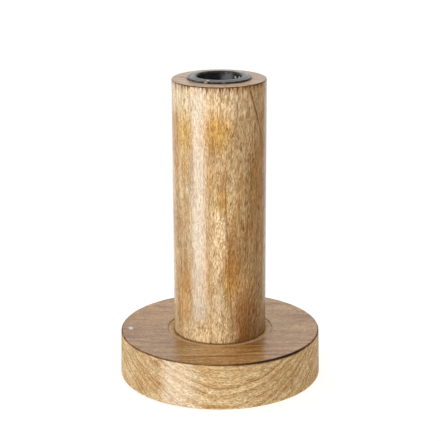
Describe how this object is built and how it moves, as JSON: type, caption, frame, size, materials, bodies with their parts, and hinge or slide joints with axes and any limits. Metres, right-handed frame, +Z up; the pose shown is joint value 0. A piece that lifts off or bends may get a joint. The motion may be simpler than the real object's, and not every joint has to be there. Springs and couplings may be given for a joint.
{
  "type": "candlestick",
  "caption": "Turned wooden candlestick: a thick round column on a flat disc base, with a black steel cup in the column's top that holds a dinner candle.",
  "frame": {"origin": "centre of the footprint, on the surface that the felt pads stand on", "axes": "+Z up along the column's axis; the base's wood grain runs along X; -Y is the side that the picture shows"},
  "size_m": [0.106, 0.106, 0.1609],
  "materials": {
    "base_wood": "mango wood, grain across the disc, satin to gloss clear lacquer",
    "column_wood": "mango wood, grain along the column, satin clear lacquer",
    "black_paint": "black paint on sheet steel, half gloss, worn at the flange's edge",
    "zinc_steel": "bright zinc plating",
    "felt": "pressed wool felt, dark brown"
  },
  "bodies": {
    "stand": {"base_disc": "base_wood", "column": "column_wood", "centre_screw": "zinc_steel", "screw_washer": "zinc_steel", "felt_pad_1": "felt", "felt_pad_2": "felt", "felt_pad_3": "felt", "felt_pad_4": "felt"},
    "cup": {"candle_cup": "black_paint"}
  },
  "joints": [
    {"name": "cup_lift", "type": "slide", "parent": "stand", "child": "cup", "axis": [0, 0, 1], "range_m": [0, 0.03]}
  ]
}
